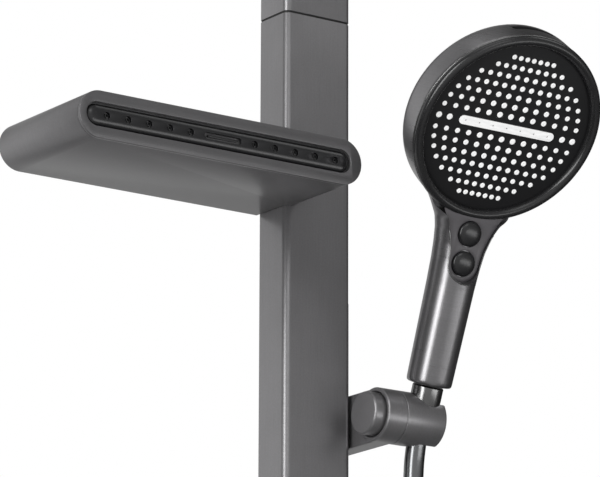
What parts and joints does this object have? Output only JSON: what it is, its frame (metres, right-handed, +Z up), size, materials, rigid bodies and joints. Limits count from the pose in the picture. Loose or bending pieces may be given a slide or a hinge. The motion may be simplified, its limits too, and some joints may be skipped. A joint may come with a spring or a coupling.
{
  "type": "rain shower column",
  "caption": "Wall-hung square shower column with a slab rain head, a hand shower on a sliding, tilting holder, a hose and a bar mixer at the foot.",
  "frame": {"origin": "centre of the upper wall bracket's back face, on the wall plane", "axes": "+Z up along the column, +X to the bather's right, +Y into the wall, so the bather stands at -Y"},
  "size_m": [0.4035, 0.2389, 1.5427],
  "materials": {
    "gunmetal": "satin gunmetal, finely brushed",
    "plated": "moulded plastic with a satin gunmetal coat",
    "plated_brass": "brass with a brushed gunmetal coat",
    "polished": "polished gunmetal",
    "steel": "plain",
    "brass": "plain",
    "gloss_black": "gloss",
    "satin_black": "finely textured",
    "black_rubber": "matt",
    "white_rubber": "matt",
    "nylon": "plain",
    "shield": "satin, dark grey with a violet cast",
    "hose": "smooth silver-grey jacket"
  },
  "bodies": {
    "column": {"column_lower": "gunmetal", "column_upper": "gunmetal", "seam_gasket": "black_rubber", "top_cap": "gunmetal", "riser_pipe": "brass", "head_tee": "brass", "head_inlet_pipe": "brass", "head_inlet_nut": "brass", "head_shell": "gunmetal", "head_front_rim": "gunmetal", "nozzle_insert": "gloss_black", "nozzle_strip": "black_rubber", "slit_jet": "gloss_black", "head_water_chamber": "nylon", "head_feed_tube": "nylon", "slide_rail": "gunmetal", "rail_screw_1": "steel", "rail_screw_2": "steel", "rail_screw_3": "steel", "shower_hose": "hose", "mixer_body": "plated_brass", "inlet_union_left": "brass", "inlet_union_right": "brass", "escutcheon_left": "plated_brass", "escutcheon_right": "plated_brass", "thermostat_cartridge": "brass", "flow_cartridge": "brass", "hose_outlet": "polished", "hose_nut": "polished", "wall_bracket": "steel", "wall_screw_left": "steel", "wall_screw_right": "steel", "column_screw": "steel"},
    "slider": {"slider_block": "gunmetal", "brake_shoe": "nylon", "tilt_axle": "steel", "release_spring": "steel"},
    "release_button": {"release_button": "gunmetal"},
    "holder": {"holder_barrel": "gunmetal", "friction_washer": "nylon"},
    "cone": {"cone_nut": "polished", "hose_sleeve": "hose"},
    "handset": {"handset_shell": "plated", "waterway_tube": "nylon", "handset_rim": "gloss_black", "face_plate": "satin_black", "nozzle_mat": "white_rubber", "centre_jet_bar": "white_rubber", "water_spreader": "nylon", "top_jet_insert": "satin_black", "control_panel": "shield"},
    "lower_spray_button": {"spray_button_lower": "gloss_black"},
    "upper_spray_button": {"spray_button_upper": "gloss_black"},
    "temperature_knob": {"temperature_knob": "gunmetal"},
    "flow_knob": {"flow_knob": "gunmetal"}
  },
  "joints": [
    {"name": "slider_slide", "type": "slide", "parent": "column", "child": "slider", "axis": [0, 0, 1], "range_m": [-0.4, 0.04], "deforming": ["shower_hose"]},
    {"name": "release_button_push", "type": "slide", "parent": "slider", "child": "release_button", "axis": [1, 0, 0], "range_m": [0, 0.003], "stiffness_N_per_m": 900, "springref_m": -0.001, "deforming": ["release_spring"]},
    {"name": "holder_tilt", "type": "hinge", "parent": "slider", "child": "holder", "pos_m": [0.05, -0.085, -0.3305], "axis": [1, 0, 0], "range_deg": [-12, 25]},
    {"name": "handset_lift", "type": "slide", "parent": "holder", "child": "cone", "axis": [0, -0.3649, 0.9311], "range_m": [0, 0.08]},
    {"name": "handset_turn", "type": "hinge", "parent": "cone", "child": "handset", "pos_m": [0.067, -0.0882, -0.3305], "axis": [0, -0.3649, 0.9311], "range_deg": [-22, 22]},
    {"name": "lower_button_push", "type": "slide", "parent": "handset", "child": "lower_spray_button", "axis": [0.0802, 0.9281, 0.3637], "range_m": [0, 0.002], "stiffness_N_per_m": 900, "springref_m": -0.0005},
    {"name": "upper_button_push", "type": "slide", "parent": "handset", "child": "upper_spray_button", "axis": [0.0802, 0.9281, 0.3637], "range_m": [0, 0.002], "stiffness_N_per_m": 900, "springref_m": -0.0005},
    {"name": "temperature_knob_turn", "type": "hinge", "parent": "column", "child": "temperature_knob", "pos_m": [-0.12, -0.0425, -1.163], "axis": [1, 0, 0], "range_deg": [-60, 180]},
    {"name": "flow_knob_turn", "type": "hinge", "parent": "column", "child": "flow_knob", "pos_m": [0.12, -0.0425, -1.163], "axis": [1, 0, 0], "range_deg": [-90, 90]}
  ]
}
